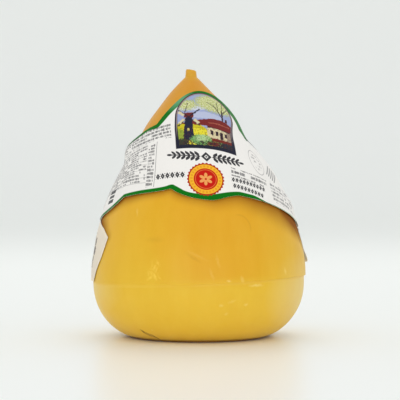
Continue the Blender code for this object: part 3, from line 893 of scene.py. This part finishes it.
BACK_CORNER = (-58.8, 47.2)
BACK_FAR_END = (-280.0, 49.6)
BACK_TIP = (-265.0, 33.6)
BACK_UPPER = (
    BACK_FAR_END, (-262.0, 51.4), (-235.0, 51.6), (-90.0, 54.8), (-78.4, 53.6), (-67.5, 51.0), BACK_CORNER)
BACK_LOWER = (
    BACK_FAR_END, BACK_TIP, (-200.0, 28.6), (-90.0, 28.2), (-77.0, 28.3), (-64.8, 38.3), (-61.0, 43.2),
    BACK_CORNER)
BACK_RADIUS = 49.0
BACK_BULGE = 1.0
BACK_BULGE_AZIMUTH = -96.0
BACK_BULGE_SPREAD = 14.0
BACK_BULGE_TOP = 44.0
BACK_BULGE_FADE = 10.0
BACK_COLUMNS = 220
BACK_ROWS = 30
azimuth = np.linspace(BACK_UPPER[0][0] + 0.3, BACK_UPPER[-1][0] - 0.3, BACK_COLUMNS + 1)
high = np.interp(azimuth, *np.array(BACK_UPPER).T)
low = np.interp(azimuth, *np.array(BACK_LOWER).T)
middle = 0.5 * (high + low)
high = np.maximum(high, middle + 0.3)
low = np.minimum(low, middle - 0.3)
height = high + (low - high) * np.linspace(0, 1, BACK_ROWS + 1)[:, None]
azimuth = np.broadcast_to(azimuth, height.shape)
away = np.hypot(azimuth - BACK_TIP[0], height - BACK_TIP[1]) / 10
lift = 0.08 + 1.5 * (1 - ease(away)) + 0.05 * np.sin(azimuth / 4.1) * np.sin(height / 4)
bulge = BACK_BULGE * np.exp(-((azimuth - BACK_BULGE_AZIMUTH) / BACK_BULGE_SPREAD) ** 2)
lift += bulge * ease((BACK_BULGE_TOP - height) / BACK_BULGE_FADE)
round_it = np.radians(azimuth) * BACK_RADIUS
places = np.stack([round_it, height, np.minimum(high - height, height - low)], axis=-1)
strip = sheet("back_strip", BACK_COLUMNS, BACK_ROWS, rind_point(np.radians(azimuth), height, lift), places)

strip_print, strip_shader, start = new_material("strip_print", Metallic=0.0, Roughness=0.5)
x, y, edge = start.made("ShaderNodeAttribute", {"attribute_name": "print"}, output=1).parts()
spot = flat_place(x, y)
page = plain(start, colour(236, 224, 204))
page = page.under(spot.noise(0.25, 3.0) * 0.35, colour(230, 212, 186))
# Painted highlight: the strip is lighter along its edges, where they catch the light
page = page.under((1.2 - edge).within(1.0) * 0.6, colour(252, 238, 208))
text = small_print(flat_place(y, x), 2.4, 1.5, 0.5, 2.0, 0.86)
text = text * (x + 128.0).least(-69.0 - x).least(y - 34.0).least(49.0 - y).within(0.3)
bar = (x / 0.45).maths("FLOOR", x / 0.45)
bars = (0.5 - chance(flat_place(bar, x * 0.0), 8.0)).within(0.2)
bars = bars * box(spot, (-150.0, 41.0), (26.0, 11.0)).within(0.1)
stamp = stroke(spot, (-67.0, 46.6), (-67.6, 43.6), 2.4).most(stroke(spot, (-67.4, 43.0), (-68.8, 39.9), 4.2))
stamp = stamp.most(stroke(spot, (-70.0, 39.0), (-71.0, 36.6), 2.2)) + (spot.noise(1.6, 3.0) - 0.5) * 2.4
page = page.under(text.most(bars).most(stamp.within(0.3)) * 0.9, colour(40, 36, 38))
feed(strip_shader, "Base Color", page)
feed(strip_shader, "Normal", start.made("ShaderNodeBump", sockets={
    "Strength": 0.2, "Distance": 0.0003, "Height": spot.noise(3.0, 4.0)}))
strip.data.materials.append(strip_print)
strip.data.materials.append(bare_paper)
give_thickness(strip, PAPER_THICKNESS)

# Painted shade on the rind beside the strip's front corner, where the strip's shadow falls: the edge's height,
# then strength, reach and fall
CORNER_SHADE = np.array((
    (30.0, 0.20, 2.0, 1.0), (46.0, 0.40, 2.5, 1.2), (49.0, 0.60, 5.0, 1.4), (53.0, 0.95, 8.0, 1.0)))
front = along(np.array(((-92.0, 55.0),) + BACK_UPPER[-3:] + BACK_LOWER[-2:-5:-1]), np.linspace(0, 1, 300))
near = np.flatnonzero((heights > 24) & (heights < 60) & (azimuths < -0.6))
sideways = (np.degrees(azimuths[near])[:, None] - front[None, :, 0]) * np.radians(BACK_RADIUS)
gap = np.hypot(sideways, heights[near][:, None] - front[None, :, 1])
paper_shade_amount[near] = np.maximum(paper_shade_amount[near], shade_beside(gap, front[:, 1], CORNER_SHADE))
# The painted shade of both papers, stored on the rind for its colour
paper_shade_layer = cheese.data.attributes.new("beside_paper", "FLOAT", "POINT")
paper_shade_layer.data.foreach_set("value", paper_shade_amount)
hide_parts("back_label")
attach(strip, "root")

# Floor, light and camera: a seamless white sweep that curves up behind.
# Two broad soft lights and an even sky light it, and a long lens looks at it almost level with the floor.

CAMERA_DISTANCE = 639.5
CAMERA_HEIGHT = 63.0
CAMERA_SIDE = 0.8
PIXELS = 400
LENS_PIXELS = 1370.0
SENSOR = 36.0
HORIZON_DROP = 2.0

start_fresh()
bpy.ops.mesh.primitive_plane_add(size=1)
floor = bpy.context.object
floor.name = "sweep"
floor.scale = (6.0, 3.0, 1.0)
floor.location = (0.0, 0.2, 0.0)
bpy.ops.object.transform_apply(location=True, rotation=True, scale=True)
bpy.ops.object.mode_set(mode="EDIT")
bpy.ops.mesh.select_all(action="DESELECT")
bpy.ops.object.mode_set(mode="OBJECT")
for line in floor.data.edges:
    ends = [floor.data.vertices[index].co.y for index in line.vertices]
    line.select = min(ends) > 1.0
bpy.ops.object.mode_set(mode="EDIT")
bpy.ops.mesh.select_mode(type="EDGE")
for rise, run in ((0.05, 0.25), (0.15, 0.2), (0.25, 0.12), (2.5, 0.05)):
    bpy.ops.mesh.extrude_edges_move(TRANSFORM_OT_translate={"value": (0, run, rise)})
bpy.ops.object.mode_set(mode="OBJECT")
bend = floor.modifiers.new("bend", "SUBSURF")
bend.levels = bend.render_levels = 3
bpy.ops.object.shade_smooth()
paper_white, floor_shader, start = new_material(
    "sweep_white", Roughness=0.33, Metallic=0.0, Specular_IOR_Level=0.8)
floor_shader.inputs["Base Color"].default_value = colour(247, 248, 243)
floor.data.materials.append(paper_white)


def soft_light(name, place, aim, wide, tall, power):
    """A rectangular soft light that faces a point."""
    start_fresh()
    bpy.ops.object.light_add(type="AREA", location=place)
    lamp = bpy.context.object
    lamp.name = name
    lamp.data.shape = "RECTANGLE"
    lamp.data.size = wide
    lamp.data.size_y = tall
    lamp.data.energy = power
    lamp.rotation_euler = (Vector(aim) - Vector(place)).to_track_quat("-Z", "Y").to_euler()


soft_light("back_light", (0.0, 0.7, 1.0), (0, 0, 0.05), 0.6, 0.5, 2.2)
soft_light("low_front_light", (0.0, -1.2, 0.12), (0, 0, 0.03), 1.4, 0.2, 2.4)

world = bpy.data.worlds.new("studio")
bpy.context.scene.world = world
world.use_nodes = True
world.node_tree.nodes["Background"].inputs["Color"].default_value = (0.95, 0.97, 1.0, 1.0)
world.node_tree.nodes["Background"].inputs["Strength"].default_value = 0.915

start_fresh()
bpy.ops.object.camera_add(
    location=(CAMERA_SIDE * MM, -CAMERA_DISTANCE * MM, CAMERA_HEIGHT * MM), rotation=(math.pi / 2, 0, 0))
camera = bpy.context.object
camera.data.sensor_width = SENSOR
camera.data.lens = SENSOR * LENS_PIXELS / PIXELS
camera.data.shift_y = HORIZON_DROP / PIXELS
bpy.context.scene.camera = camera
bpy.context.scene.view_settings.view_transform = "Standard"
